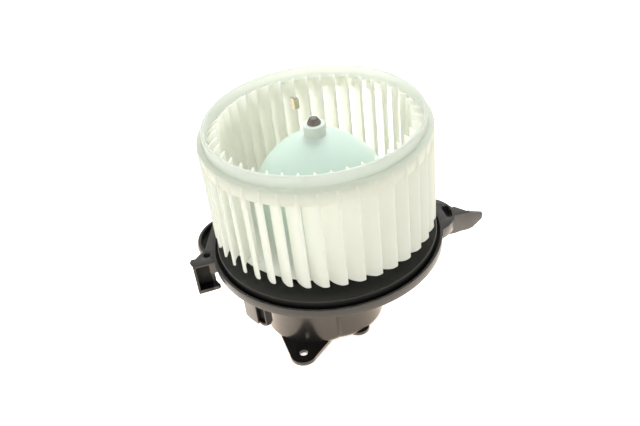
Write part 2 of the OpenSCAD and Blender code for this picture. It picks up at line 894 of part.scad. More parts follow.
// Straight walls between the bowl and its duct, in the duct's direction
module duct_flanks() {
    low = bowl_low + 0.5;
    top = floor_low - 1.2;
    rotate(duct_angle) rotate([90, 0, 90]) linear_extrude(height = duct_at) polygon([
        [-duct_half + bowl_edge_r, low],
        [duct_half - bowl_edge_r, low],
        [duct_half, low + bowl_edge_r],
        [duct_half, top],
        [-duct_half, top],
        [-duct_half, low + bowl_edge_r]
    ]);
}

// Hollow of the air duct, beside the bowl's round wall
module duct_hollow() {
    floor_at = duct_low + bowl_wall;
    intersection() {
        difference() {
            translate([duct_centre[0], duct_centre[1], 0]) rotate_extrude()
                pot_section(duct_r - bowl_wall, floor_at, inner_edge, floor_low + 1);
            post_at_point([0, 0], bowl_r, bowl_low, floor_low + 2);
        }
        rotate(duct_angle) block([duct_at + 1, -duct_r, bowl_low], [duct_at + duct_r, duct_r, floor_low + 2]);
    }
}

// Upright rib on the bowl's flank
module bowl_rib() {
    at = bowl_r * cos(rib_angle);
    proud = 1;
    depth = proud + 1.4;
    top_half = 1.05;
    low_half = 0.4;
    rotate(duct_angle) translate([0, duct_half + proud, 0]) rotate([90, 0, 0]) linear_extrude(height = depth)
        polygon([
            [at - top_half, bowl_low + 25],
            [at + top_half, bowl_low + 25],
            [at + low_half, bowl_low + 8],
            [at - low_half, bowl_low + 8]
        ]);
}

// Both strips' places, widened by a margin, between two distances from the axis
module strip_pair(margin, from, to) {
    for (side = [-1, 1]) terminal(side, margin, from, to);
}

// Plug socket on the back of the bowl, level with the end cap
module plug_box(inset, from, to) {
    half = plug_w / 2 - inset;
    block([-half, from, plug_z - plug_h / 2 + inset], [half, to, plug_z + plug_h / 2 - inset]);
}

module motor_bowl() {
    window_half = 38;
    color([0.1, 0.1, 0.1]) difference() {
        union() {
            rotate_extrude() pot_section(bowl_r, bowl_low, bowl_edge_r, floor_low - 1);
            translate([duct_centre[0], duct_centre[1], 0]) rotate_extrude()
                pot_section(duct_r, duct_low, bowl_edge_r, floor_low - 1.4);
            duct_flanks();
            fix_ring();
            bowl_rib();
            lug();
            foot();
            plug_box(0, collar_in - 2, plug_end);
        }
        rotate_extrude() pot_section(collar_in, bowl_floor, inner_edge, floor_low + 1);
        duct_hollow();
        rotate([0, 0, duct_angle - window_half]) rotate_extrude(angle = 2 * window_half)
            translate([collar_in - 1, window_low]) square([bowl_wall + 2, window_top - window_low]);
        rotate(lobe_angle) block(
            [bowl_r + 2, -channel_w / 2 + 1, channel_low + 1],
            [bowl_r + 20, channel_w / 2 - 1, channel_top - 2]
        );
        plug_box(plug_wall, bowl_r + plug_wall, plug_end + 1);
        strip_pair(seat_gap, collar_in - 1, bowl_r + 3);
        for (a = screw_angles)
            post_at_point(polar(screw_at, a), screw_hole_r, floor_low - fix_ring_t - 1, floor_low + 1);
        post_at_point(polar(lug_at, lug_angle), lug_hole_r, lug_low - 1, lug_low + lug_t + 1);
    }
}

// Mounting lug: a triangular plate with a round tip, near the bowl's bottom
module lug() {
    rotate(lug_angle) translate([0, 0, lug_low]) linear_extrude(height = lug_t) union() {
        translate([lug_at, 0]) circle(r = lug_tip_r);
        polygon([
            [bowl_r - 12, -20],
            [bowl_r + 7.8, -22.9],
            [lug_at + 6.6, -6.8],
            [lug_at, 0],
            [lug_at + 1.3, 9.4],
            [bowl_r - 1.1, 12.4],
            [bowl_r - 12, 12]
        ]);
    }
}

// Small rounded foot beside the lug
module foot() {
    rotate(foot_angle) translate([0, 0, lug_low]) linear_extrude(height = lug_t - 0.4) union() {
        translate([foot_at, 0]) circle(r = foot_r);
        translate([bowl_r / 2, -foot_r]) square([foot_at - bowl_r / 2, 2 * foot_r]);
    }
}

module cover_screws() {
    head_r = 3.6;
    head_h = 2.4;
    shank_r = screw_pilot_r - seat_gap;
    head_z = floor_low - fix_ring_t;
    color("dimgray") for (a = screw_angles) difference() {
        union() {
            post_at_point(polar(screw_at, a), head_r, head_z - head_h, head_z);
            post_at_point(polar(screw_at, a), shank_r, head_z - 1, screw_boss_z - 0.6);
        }
        translate(concat(polar(screw_at, a), [head_z - head_h - 0.01])) cylinder(r = 1.7, h = 1.4, $fn = 6);
    }
}

// One flat strip from the end cap out into the plug socket, with a margin round it
module terminal(side, margin, from, to) {
    middle = side * strip_pitch / 2;
    block(
        [middle - strip_w / 2 - margin, from, strip_z - strip_t - margin],
        [middle + strip_w / 2 + margin, to, strip_z + margin]
    );
}

module terminal_positive() {
    color("goldenrod") terminal(-1, 0, strip_from, strip_to);
}

module terminal_negative() {
    color("goldenrod") terminal(1, 0, strip_from, strip_to);
}

module isolator_upper() {
    top = collar_z - 1;
    color([0.15, 0.15, 0.15]) tube(isolator_out, isolator_in, top - isolator_h, top);
}

module isolator_lower() {
    color([0.15, 0.15, 0.15]) tube(isolator_out, isolator_in, isolator_low_z, isolator_low_z + isolator_h);
}

// Deep-drawn steel can with a bearing pocket and four vents in its closed end
module motor_can() {
    shaft_hole = shaft_r + 1;
    vent_in = pocket_r + pocket_wall + 5;
    vent_out = can_in - 6;
    color("lightgray") difference() {
        union() {
            translate([0, 0, can_low]) cylinder(r = can_r, h = can_depth + can_top_z);
            translate([0, 0, can_roof]) cylinder(r = pocket_r + pocket_wall, h = bearing_len + pocket_wall);
        }
        translate([0, 0, can_low - 1]) cylinder(r = can_in, h = can_depth + can_roof + 1);
        translate([0, 0, can_roof - 1]) cylinder(r = pocket_r, h = bearing_len + 1);
        translate([0, 0, can_roof]) cylinder(r = shaft_hole, h = bearing_len + 10);
        for (i = [0:3]) rotate([0, 0, i * 90 + 20]) rotate_extrude(angle = 50)
            translate([vent_in, can_roof - 1]) square([vent_out - vent_in, can_t + 2]);
    }
}

module magnet(facing) {
    color([0.25, 0.25, 0.27])
        rotate([0, 0, facing - magnet_angle / 2]) rotate_extrude(angle = magnet_angle)
            translate([magnet_in, magnet_mid - magnet_len / 2]) square([magnet_t, magnet_len]);
}

module magnet_front() {
    magnet(-90);
}

module magnet_back() {
    magnet(90);
}

// Two bowed spring sheets that push the magnets apart, at the sides of the can
module magnet_clips() {
    sheet = 0.8;
    span = 180 - magnet_angle - 1;
    height = magnet_len * 0.6;
    color("silver") for (side = [0, 180])
        rotate([0, 0, side - span / 2]) rotate_extrude(angle = span)
            translate([magnet_out - sheet, magnet_mid - height / 2]) square([sheet, height]);
}

module bearing(low) {
    edge = 0.6;
    color("peru") rotate_extrude() polygon([
        [shaft_r + shaft_play, low],
        [bearing_r - edge, low],
        [bearing_r, low + edge],
        [bearing_r, low + bearing_len - edge],
        [bearing_r - edge, low + bearing_len],
        [shaft_r + shaft_play, low + bearing_len]
    ]);
}

module upper_bearing() {
    bearing(can_roof);
}

module lower_bearing() {
    bearing(lower_bearing_z);
}

module upper_bearing_retainer() {
    top = can_roof - seat_gap;
    color("silver") tube(pocket_r + 5, bearing_r - 2, top - retainer_t, top);
}

module lower_bearing_retainer() {
    low = lower_bearing_z + bearing_len + seat_gap;
    color("silver") tube(bearing_r - seat_gap / 2, bearing_r - 2, low, low + retainer_t);
}

// Moulded end cap: closes the can, carries the brush holders and the lower bearing
module end_cap() {
    well_r = bearing_r + seat_gap / 2;
    vent_in = well_r + pocket_wall + 4;
    vent_w = 9;
    color([0.2, 0.2, 0.2]) difference() {
        union() {
            translate([0, 0, cap_low]) cylinder(r = can_r, h = cap_t);
            translate([0, 0, cap_low]) cylinder(r = can_in - seat_gap, h = cap_top - cap_low);
            post_at_point([0, 0], well_r + pocket_wall, cap_boss_low, cap_low + 1);
        }
        translate([0, 0, lower_bearing_z]) cylinder(r = well_r, h = cap_top - lower_bearing_z + 1);
        for (i = [0:3]) rotate([0, 0, 33 + i * 90]) rotate_extrude(angle = 24)
            translate([vent_in, cap_low - 1]) square([vent_w, cap_t + 3]);
        strip_pair(seat_gap, strip_from - seat_gap, can_r + 1);
    }
}

// Folded brass box that guides a brush, standing on the end cap
module brush_holder() {
    half_w = brush_w / 2 + brush_gap;
    half_h = brush_h / 2 + brush_gap;
    color("gold") difference() {
        block(
            [holder_from, -half_w - holder_wall, cap_top],
            [holder_to, half_w + holder_wall, brush_z + half_h + holder_wall]
        );
        block(
            [holder_from - 1, -half_w, brush_z - half_h],
            [holder_to - holder_wall, half_w, brush_z + half_h]
        );
        block(
            [holder_from + 3, -1.2, brush_z],
            [holder_to - 3, 1.2, brush_z + half_h + holder_wall + 1]
        );
    }
}

module brush_holder_right() {
    brush_holder();
}

module brush_holder_left() {
    rotate(180) brush_holder();
}

// Carbon brush with a face hollowed to the commutator
module brush() {
    color([0.2, 0.2, 0.2]) difference() {
        block(
            [comm_r - 2, -brush_w / 2, brush_z - brush_h / 2],
            [brush_end, brush_w / 2, brush_z + brush_h / 2]
        );
        translate([0, 0, brush_z - brush_h]) cylinder(r = brush_from, h = 2 * brush_h);
    }
}

module brush_right() {
    brush();
}

module brush_left() {
    rotate(180) brush();
}

// Coil spring behind a brush: a round wire swept along a helix
spring_turns = 5;
spring_sides = 8;
spring_rings = 16 * spring_turns;
function spring_ring(i) =
    let (
        a = 360 * spring_turns * i / spring_rings,
        from = brush_end + seat_gap + spring_wire_r,
        run = spring_end - spring_wire_r - from,
        x = from + run * i / spring_rings
    )
    [for (k = [0:spring_sides - 1])
        let (b = 360 * k / spring_sides, r = spring_r + spring_wire_r * cos(b))
            [x + spring_wire_r * sin(b), r * cos(a), brush_z + r * sin(a)]];

module brush_spring() {
    n = spring_sides;
    points = [for (i = [0:spring_rings]) each spring_ring(i)];
    sides = [for (i = [0:spring_rings - 1], k = [0:n - 1])
        [i * n + k, (i + 1) * n + k, (i + 1) * n + (k + 1) % n, i * n + (k + 1) % n]];
    first = [for (k = [0:n - 1]) k];
    last = [for (k = [n - 1:-1:0]) spring_rings * n + k];
    color("silver") polyhedron(points = points, faces = concat(sides, [first], [last]));
}

module brush_spring_right() {
    brush_spring();
}

module brush_spring_left() {
    rotate(180) brush_spring();
}

// Suppression choke: a ferrite rod with its winding, lying on the end cap
module choke() {
    core = 1.9;
    turn = 0.5;
    turns = 9;
    length = 13;
    color("peru") translate([-length / 2, can_in - 8, cap_top + core + turn + seat_gap]) rotate([0, 90, 0]) {
        cylinder(r = core, h = length);
        for (i = [0:turns - 1])
            translate([0, 0, 2 + i * 2 * turn]) cylinder(r = core + turn, h = turn);
    }
}

module choke_back() {
    choke();
}

module choke_front() {
    rotate(180) choke();
}

// Stack of armature plates with winding slots open to the air gap
module lamination_stack() {
    opening = 2;
    color("gray") difference() {
        translate([0, 0, stack_low]) cylinder(r = stack_r, h = stack_len);
        translate([0, 0, stack_low - 1]) cylinder(r = shaft_r + shaft_play, h = stack_len + 2);
        for (i = [0:slot_count - 1]) rotate(i * 360 / slot_count) {
            post_at_point([slot_at, 0], slot_r, stack_low - 1, stack_top + 1);
            block([slot_at, -opening / 2, stack_low - 1], [stack_r + 1, opening / 2, stack_top + 1]);
        }
    }
}

// End turns as a rounded ring
module end_turns(low) {
    edge = 2;
    translate([0, 0, low]) rotate_extrude() polygon([
        [coil_in, 0],
        [coil_out, 0],
        [coil_out, end_turn_h - edge],
        [coil_out - edge, end_turn_h],
        [coil_in + edge, end_turn_h],
        [coil_in, end_turn_h - edge]
    ]);
}

module armature_winding() {
    upper = stack_top + coil_gap;
    lower = stack_low - coil_gap;
    color("chocolate") union() {
        end_turns(upper);
        mirror([0, 0, 1]) end_turns(-lower);
        for (i = [0:slot_count - 1])
            rotate(i * 360 / slot_count)
                post_at_point([slot_at, 0], slot_r - 2 * seat_gap, lower - 1, upper + 1);
    }
}

// Commutator with a groove between every two bars
module commutator() {
    groove_w = 0.5;
    groove_depth = 1;
    riser = 1.2;
    color("peru") difference() {
        union() {
            translate([0, 0, comm_low]) cylinder(r = comm_r, h = comm_len);
            translate([0, 0, comm_top - riser / 2]) cylinder(r = comm_r + 1, h = riser / 2);
        }
        translate([0, 0, comm_low - 1]) cylinder(r = shaft_r + shaft_play, h = comm_len + 2);
        for (i = [0:slot_count - 1]) rotate((i + 0.5) * 360 / slot_count)
            block(
                [comm_r - groove_depth, -groove_w / 2, comm_low - 1],
                [comm_r + 2, groove_w / 2, comm_top + 1]
            );
    }
}

module thrust_washer() {
    top = can_roof - 0.3;
    color("white") tube(bearing_r - 2.3, shaft_r + shaft_play, top - 1, top);
}

flange_housing();
motor_bowl();
cover_screws();
terminal_positive();
terminal_negative();
isolator_upper();
isolator_lower();
motor_can();
magnet_front();
magnet_back();
magnet_clips();
upper_bearing();
lower_bearing();
upper_bearing_retainer();
lower_bearing_retainer();
end_cap();
brush_holder_left();
brush_holder_right();
brush_left();
brush_right();
brush_spring_left();
brush_spring_right();
choke_front();
choke_back();
fan_wheel();
rotor_shaft();
lamination_stack();
armature_winding();
commutator();
thrust_washer();
shaft_retainer();
balance_clip();
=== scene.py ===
import json
import math
import bmesh
import bpy
import numpy as np
from mathutils import Matrix, Vector


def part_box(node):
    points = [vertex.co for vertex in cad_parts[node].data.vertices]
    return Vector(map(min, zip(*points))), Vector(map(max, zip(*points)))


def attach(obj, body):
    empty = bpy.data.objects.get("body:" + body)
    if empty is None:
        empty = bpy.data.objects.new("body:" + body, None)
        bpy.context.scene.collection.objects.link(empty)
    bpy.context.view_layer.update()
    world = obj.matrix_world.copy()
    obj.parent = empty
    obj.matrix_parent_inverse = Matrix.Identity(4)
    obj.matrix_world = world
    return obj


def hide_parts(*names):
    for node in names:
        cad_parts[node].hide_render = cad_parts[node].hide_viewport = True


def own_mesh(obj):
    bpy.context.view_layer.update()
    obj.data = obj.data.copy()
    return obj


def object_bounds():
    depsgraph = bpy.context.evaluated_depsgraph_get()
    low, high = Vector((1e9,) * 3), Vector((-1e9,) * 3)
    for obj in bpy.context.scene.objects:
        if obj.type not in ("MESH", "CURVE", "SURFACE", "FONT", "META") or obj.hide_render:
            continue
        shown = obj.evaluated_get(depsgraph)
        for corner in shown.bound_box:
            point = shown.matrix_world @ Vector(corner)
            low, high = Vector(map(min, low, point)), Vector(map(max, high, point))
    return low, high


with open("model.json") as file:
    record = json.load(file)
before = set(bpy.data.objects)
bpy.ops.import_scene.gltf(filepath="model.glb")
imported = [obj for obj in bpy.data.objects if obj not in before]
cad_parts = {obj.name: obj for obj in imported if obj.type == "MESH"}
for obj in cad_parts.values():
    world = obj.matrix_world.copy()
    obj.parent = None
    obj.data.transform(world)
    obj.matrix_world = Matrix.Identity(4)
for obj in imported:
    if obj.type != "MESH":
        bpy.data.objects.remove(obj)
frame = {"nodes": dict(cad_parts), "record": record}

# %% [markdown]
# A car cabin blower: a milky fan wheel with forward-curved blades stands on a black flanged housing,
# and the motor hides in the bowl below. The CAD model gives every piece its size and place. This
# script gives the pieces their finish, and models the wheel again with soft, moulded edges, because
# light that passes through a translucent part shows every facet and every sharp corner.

MM = 0.001
PHOTO_W, PHOTO_H = 640, 426
scene = bpy.context.scene
nodes = frame["nodes"]
cad_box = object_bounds()
low_corner, high_corner = cad_box
print("the part is", [round((b - a) / MM, 1) for a, b in zip(low_corner, high_corner)], "mm")

# %% [markdown]
# The camera stands where the photographer stood: in front and to the left, looking 37 degrees down.
# It is held a little tilted, so the wheel leans. A camera's matrix has its own right, up and
# backward directions as columns, so the three are worked out from the two angles and the tilt.

# %% Camera
CAMERA_AZIMUTH = math.radians(-97.0)
CAMERA_ELEVATION = math.radians(37.13)
CAMERA_TILT = math.radians(-6.72)
CAMERA_DISTANCE = 543.95 * MM
FOCAL_PIXELS = 780.0
SENSOR_MM = 36.0


def camera_matrix(azimuth, elevation, tilt, distance):
    """Right, up and backward axes of a camera that looks at the origin, turned about its own axis."""
    back = Vector((math.cos(elevation) * math.cos(azimuth),
                   math.cos(elevation) * math.sin(azimuth),
                   math.sin(elevation)))
    level_right = Vector((-math.sin(azimuth), math.cos(azimuth), 0.0))
    level_up = back.cross(level_right)
    right = level_right * math.cos(tilt) + level_up * math.sin(tilt)
    up = back.cross(right)
    matrix = Matrix((right, up, back)).transposed().to_4x4()
    matrix.translation = back * distance
    return matrix


camera_data = bpy.data.cameras.new("photo_camera")
camera_data.sensor_fit = "HORIZONTAL"
camera_data.sensor_width = SENSOR_MM
camera_data.lens = FOCAL_PIXELS / PHOTO_W * SENSOR_MM
camera_data.shift_x = -0.0107
camera_data.shift_y = 0.0298
camera_data.clip_start = 0.01
camera = bpy.data.objects.new("photo_camera", camera_data)
camera.matrix_world = camera_matrix(CAMERA_AZIMUTH, CAMERA_ELEVATION, CAMERA_TILT, CAMERA_DISTANCE)
scene.collection.objects.link(camera)
scene.camera = camera
print("lens", round(camera_data.lens, 2), "mm")

# %% [markdown]
# The picture has a white sweep with soft light from above and from the left. Diffuse surfaces get
# a plain level of light, so a colour looks as it is written. What the camera and the shiny surfaces
# see is whiter: a Light Path node tells those rays apart. Towards the zenith the room is darker, as
# a studio is, which keeps the flat black face of the flange dark.

# %% World and lamps
scene.view_settings.view_transform = "Standard"


def new_world():
    """World whose light on matt surfaces is plain, and whose mirror image fades towards the zenith."""
    world = bpy.data.worlds.new("white_room")
    world.use_nodes = True
    tree = world.node_tree
    tree.nodes.clear()
    out = tree.nodes.new("ShaderNodeOutputWorld")
    rays = tree.nodes.new("ShaderNodeLightPath")
    place = tree.nodes.new("ShaderNodeTexCoord")
    split = tree.nodes.new("ShaderNodeSeparateXYZ")
    tree.links.new(place.outputs["Generated"], split.inputs[0])
    fade = tree.nodes.new("ShaderNodeMapRange")
    fade.inputs["From Min"].default_value = 0.1
    fade.inputs["From Max"].default_value = 0.6
    fade.inputs["To Min"].default_value = 1.0
    fade.inputs["To Max"].default_value = 0.38
    tree.links.new(split.outputs["Z"], fade.inputs["Value"])
    plain = tree.nodes.new("ShaderNodeBackground")
    plain.inputs["Color"].default_value = (1.0, 0.99, 0.975, 1.0)
    plain.inputs["Strength"].default_value = 0.6
    mirror = tree.nodes.new("ShaderNodeBackground")
    mirror.inputs["Color"].default_value = (1.0, 0.98, 0.95, 1.0)
    tree.links.new(fade.outputs["Result"], mirror.inputs["Strength"])
    white = tree.nodes.new("ShaderNodeBackground")
    white.inputs["Color"].default_value = (1.0, 1.0, 1.0, 1.0)
    seen = tree.nodes.new("ShaderNodeMath")
    seen.operation = "MAXIMUM"
    tree.links.new(rays.outputs["Is Camera Ray"], seen.inputs[0])
    tree.links.new(rays.outputs["Is Transmission Ray"], seen.inputs[1])
    first = tree.nodes.new("ShaderNodeMixShader")
    tree.links.new(rays.outputs["Is Glossy Ray"], first.inputs[0])
    tree.links.new(plain.outputs[0], first.inputs[1])
    tree.links.new(mirror.outputs[0], first.inputs[2])
    second = tree.nodes.new("ShaderNodeMixShader")
    tree.links.new(seen.outputs[0], second.inputs[0])
    tree.links.new(first.outputs[0], second.inputs[1])
    tree.links.new(white.outputs[0], second.inputs[2])
    tree.links.new(second.outputs[0], out.inputs[0])
    return world


def add_softbox(name, place, aim, width, watts, colour):
    """Square area lamp at place, in metres, turned to face aim and unseen in shiny surfaces."""
    data = bpy.data.lights.new(name, "AREA")
    data.shape = "SQUARE"
    data.size = width
    data.energy = watts
    data.color = colour
    lamp = bpy.data.objects.new(name, data)
    lamp.location = place
    lamp.visible_glossy = False
    lamp.rotation_euler = (Vector(aim) - Vector(place)).to_track_quat("-Z", "Y").to_euler()
    scene.collection.objects.link(lamp)
    return lamp


scene.world = new_world()
add_softbox("key_softbox", (-0.75, -0.35, 1.05), (0, 0, 0.03), 0.7, 5.0, (1.0, 0.99, 0.97))
add_softbox("back_softbox", (0.3, 0.75, 1.15), (0, 0, 0.03), 0.8, 20.0, (1.0, 1.0, 0.99))

# %% [markdown]
# The floor lies at the bottom of the bowl. It is nearly white and glows white of its own for the
# rays of the camera and of glass, so the paper reads as pure white and still takes the soft shadow
# under the part. For mirror rays it glows stronger and warm, a light that only shiny surfaces see
# and that gives the black housing its brown sheen.

# %% Floor
FLOOR_HALF_WIDTH = 6.0


def new_floor_material():
    """Matt white paper that glows white for camera and glass rays, and stronger and warm for mirror rays."""
    material = bpy.data.materials.new("white_paper")
    material.use_nodes = True
    tree = material.node_tree
    shader = tree.nodes["Principled BSDF"]
    shader.inputs["Base Color"].default_value = (0.9, 0.89, 0.88, 1.0)
    shader.inputs["Roughness"].default_value = 0.9
    shader.inputs["Specular IOR Level"].default_value = 0.1
    rays = tree.nodes.new("ShaderNodeLightPath")
    seen = tree.nodes.new("ShaderNodeMath")
    seen.operation = "MAXIMUM"
    tree.links.new(rays.outputs["Is Camera Ray"], seen.inputs[0])
    tree.links.new(rays.outputs["Is Transmission Ray"], seen.inputs[1])
    plain_glow = tree.nodes.new("ShaderNodeMath")
    plain_glow.operation = "MULTIPLY"
    plain_glow.inputs[1].default_value = 0.8
    tree.links.new(seen.outputs[0], plain_glow.inputs[0])
    glow = tree.nodes.new("ShaderNodeMath")
    glow.operation = "MULTIPLY_ADD"
    glow.inputs[1].default_value = 1.5
    tree.links.new(rays.outputs["Is Glossy Ray"], glow.inputs[0])
    tree.links.new(plain_glow.outputs[0], glow.inputs[2])
    warm = tree.nodes.new("ShaderNodeMix")
    warm.data_type = "RGBA"
    warm.inputs[6].default_value = (1.0, 1.0, 1.0, 1.0)
    warm.inputs[7].default_value = (1.0, 0.8, 0.62, 1.0)
    tree.links.new(rays.outputs["Is Glossy Ray"], warm.inputs["Factor"])
    tree.links.new(warm.outputs[2], shader.inputs["Emission Color"])
    tree.links.new(glow.outputs[0], shader.inputs["Emission Strength"])
    return material


floor_z = low_corner[2] - 0.2 * MM
corners = np.array([[-1, -1], [1, -1], [1, 1], [-1, 1]]) * FLOOR_HALF_WIDTH
floor_mesh = bpy.data.meshes.new("paper_floor")
floor_mesh.from_pydata([(x, y, floor_z) for x, y in corners], [], [(0, 1, 2, 3)])
floor = bpy.data.objects.new("paper_floor", floor_mesh)
scene.collection.objects.link(floor)
floor.data.materials.append(new_floor_material())

# %% [markdown]
# Helpers for making meshes. A moulded or turned piece is a closed outline in radius and height,
# spun round the shaft. Sharp corners never come out of a mould, so soften can cut each corner of an
# outline back and join it by a small curve before it is spun.

# %% Mesh helpers
SPIN_STEPS = 288


def soften(corners, cuts, steps=5):
    """Outline whose corner C is replaced by the curve (1-t)(1-t) A + 2 t (1-t) C + t t B.

    A and B lie on the two sides that meet in C, at the distance cuts from it."""
    corners = np.asarray(corners, float)
    cuts = np.broadcast_to(np.asarray(cuts, float), len(corners))[:, None]
    before = np.roll(corners, 1, axis=0) - corners
    after = np.roll(corners, -1, axis=0) - corners
    start = corners + before / np.linalg.norm(before, axis=1, keepdims=True) * cuts
    end = corners + after / np.linalg.norm(after, axis=1, keepdims=True) * cuts
    t = np.linspace(0, 1, steps)[None, :, None]
    curve = (1 - t) ** 2 * start[:, None] + 2 * t * (1 - t) * corners[:, None] + t ** 2 * end[:, None]
    return curve.reshape(-1, 2)


def grid_faces(rows, columns, wrap_rows, wrap_columns):
    """Four-sided faces of a grid of rows times columns points, closed where a wrap is asked for."""
    i = np.arange(rows if wrap_rows else rows - 1)[:, None]
    j = np.arange(columns if wrap_columns else columns - 1)[None, :]
    i_next, j_next = (i + 1) % rows, (j + 1) % columns
    quads = np.stack([i * columns + j, i_next * columns + j,
                      i_next * columns + j_next, i * columns + j_next], axis=-1)
    return quads.reshape(-1, 4)


def add_piece(name, points, faces, material, body):
    """Mesh object from points in millimetres, with doubles merged and faces turned outwards."""
    mesh = bpy.data.meshes.new(name)
    mesh.from_pydata((np.asarray(points).reshape(-1, 3) * MM).tolist(), [], faces.tolist())
    work = bmesh.new()
    work.from_mesh(mesh)
    bmesh.ops.remove_doubles(work, verts=work.verts, dist=0.002 * MM)
    bmesh.ops.recalc_face_normals(work, faces=work.faces)
    work.to_mesh(mesh)
    work.free()
    mesh.shade_smooth()
    mesh.materials.append(material)
    piece = bpy.data.objects.new(name, mesh)
    scene.collection.objects.link(piece)
    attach(piece, body)
    print(name, len(mesh.polygons), "faces")
    return piece


def spin(outline, steps=SPIN_STEPS):
    """Points of a closed outline (r, z) turned round Z: x = r cos a, y = r sin a, z = z."""
    outline = np.asarray(outline, float)
    angle = np.linspace(0, 2 * np.pi, steps, endpoint=False)[:, None]
    radius, height = outline[None, :, 0], outline[None, :, 1]
    return np.stack([radius * np.cos(angle), radius * np.sin(angle),
                     np.broadcast_to(height, (steps, len(outline)))], axis=-1)


def spun_piece(name, outline, material, body):
    """Ring-shaped piece whose section is a closed outline."""
    points = spin(outline)
    return add_piece(name, points, grid_faces(*points.shape[:2], True, True), material, body)


# %% [markdown]
# Two effects are shared by several finishes, so each is a node group. Moulded plastic and sintered
# metal have a fine grain in the surface, and everything that has been handled has faint wipe marks
# that make it a little duller in patches. Both read Object coordinates, so they stay on the piece.

# %% Shared effects as node groups
def new_group(name, inputs, outputs):
    """Empty node group with float inputs {name: default} and outputs {name: socket type}."""
    group = bpy.data.node_groups.new(name, "ShaderNodeTree")
    for label, value in inputs.items():
        socket = group.interface.new_socket(label, in_out="INPUT", socket_type="NodeSocketFloat")
        socket.default_value = value
    for label, kind in outputs.items():
        group.interface.new_socket(label, in_out="OUTPUT", socket_type=kind)
    return group, group.nodes.new("NodeGroupInput"), group.nodes.new("NodeGroupOutput")


def new_grain_group():
    """Height of a fine grain: noise of the given scale, raised a little by a coarser noise."""
    group, inside, outside = new_group(
        "surface_grain", {"Scale": 3000.0, "Coarse Scale": 400.0}, {"Height": "NodeSocketFloat"})
    place = group.nodes.new("ShaderNodeTexCoord")
    fine = group.nodes.new("ShaderNodeTexNoise")
    fine.inputs["Detail"].default_value = 3.0
    coarse = group.nodes.new("ShaderNodeTexNoise")
    coarse.inputs["Detail"].default_value = 2.0
    for noise, label in ((fine, "Scale"), (coarse, "Coarse Scale")):
        group.links.new(place.outputs["Object"], noise.inputs["Vector"])
        group.links.new(inside.outputs[label], noise.inputs["Scale"])
    half = group.nodes.new("ShaderNodeMath")
    half.operation = "MULTIPLY_ADD"
    half.inputs[1].default_value = 0.35
    group.links.new(coarse.outputs[0], half.inputs[0])
    group.links.new(fine.outputs[0], half.inputs[2])
    group.links.new(half.outputs[0], outside.inputs["Height"])
    return group


def new_wipe_group():
    """Roughness that varies in soft patches between Low and High, and a mask of sparse dust."""
    group, inside, outside = new_group(
        "wipe_marks", {"Low": 0.3, "High": 0.4, "Patch Scale": 45.0},
        {"Roughness": "NodeSocketFloat", "Dust": "NodeSocketFloat"})
    place = group.nodes.new("ShaderNodeTexCoord")
    stretch = group.nodes.new("ShaderNodeMapping")
    stretch.inputs["Scale"].default_value = (1.0, 1.0, 2.6)
    group.links.new(place.outputs["Object"], stretch.inputs["Vector"])
    patch = group.nodes.new("ShaderNodeTexNoise")
    patch.inputs["Detail"].default_value = 4.0
    patch.inputs["Roughness"].default_value = 0.6
    group.links.new(stretch.outputs[0], patch.inputs["Vector"])
    group.links.new(inside.outputs["Patch Scale"], patch.inputs["Scale"])
    spread = group.nodes.new("ShaderNodeMapRange")
    spread.inputs["From Min"].default_value = 0.3
    spread.inputs["From Max"].default_value = 0.7
    group.links.new(patch.outputs[0], spread.inputs["Value"])
    group.links.new(inside.outputs["Low"], spread.inputs["To Min"])
    group.links.new(inside.outputs["High"], spread.inputs["To Max"])
    group.links.new(spread.outputs["Result"], outside.inputs["Roughness"])
    specks = group.nodes.new("ShaderNodeTexVoronoi")
    specks.inputs["Scale"].default_value = 420.0
    group.links.new(place.outputs["Object"], specks.inputs["Vector"])
    small = group.nodes.new("ShaderNodeMapRange")
    small.inputs["From Min"].default_value = 0.06
    small.inputs["From Max"].default_value = 0.02
    group.links.new(specks.outputs["Distance"], small.inputs["Value"])
    rare = group.nodes.new("ShaderNodeTexNoise")
    rare.inputs["Scale"].default_value = 60.0
    group.links.new(place.outputs["Object"], rare.inputs["Vector"])
    where = group.nodes.new("ShaderNodeMapRange")
    where.inputs["From Min"].default_value = 0.55
    where.inputs["From Max"].default_value = 0.7
    group.links.new(rare.outputs[0], where.inputs["Value"])
    dust = group.nodes.new("ShaderNodeMath")
    dust.operation = "MULTIPLY"
    group.links.new(small.outputs["Result"], dust.inputs[0])
    group.links.new(where.outputs["Result"], dust.inputs[1])
    group.links.new(dust.outputs[0], outside.inputs["Dust"])
    return group


grain_group = new_grain_group()
wipe_group = new_wipe_group()


# %% [markdown]
# Every finish starts from one Principled shader. The helper below makes it and hangs the two
# shared effects on it: the grain feeds a Bump node, the wipe marks feed the roughness, and dust
# lightens the colour in a few specks.

# %% Base of every finish
def place_group(tree, group, values):
    """Group node in a material, with its own values for the named inputs."""
    node = tree.nodes.new("ShaderNodeGroup")
    node.node_tree = group
    for label, value in values.items():
        node.inputs[label].default_value = value
    return node


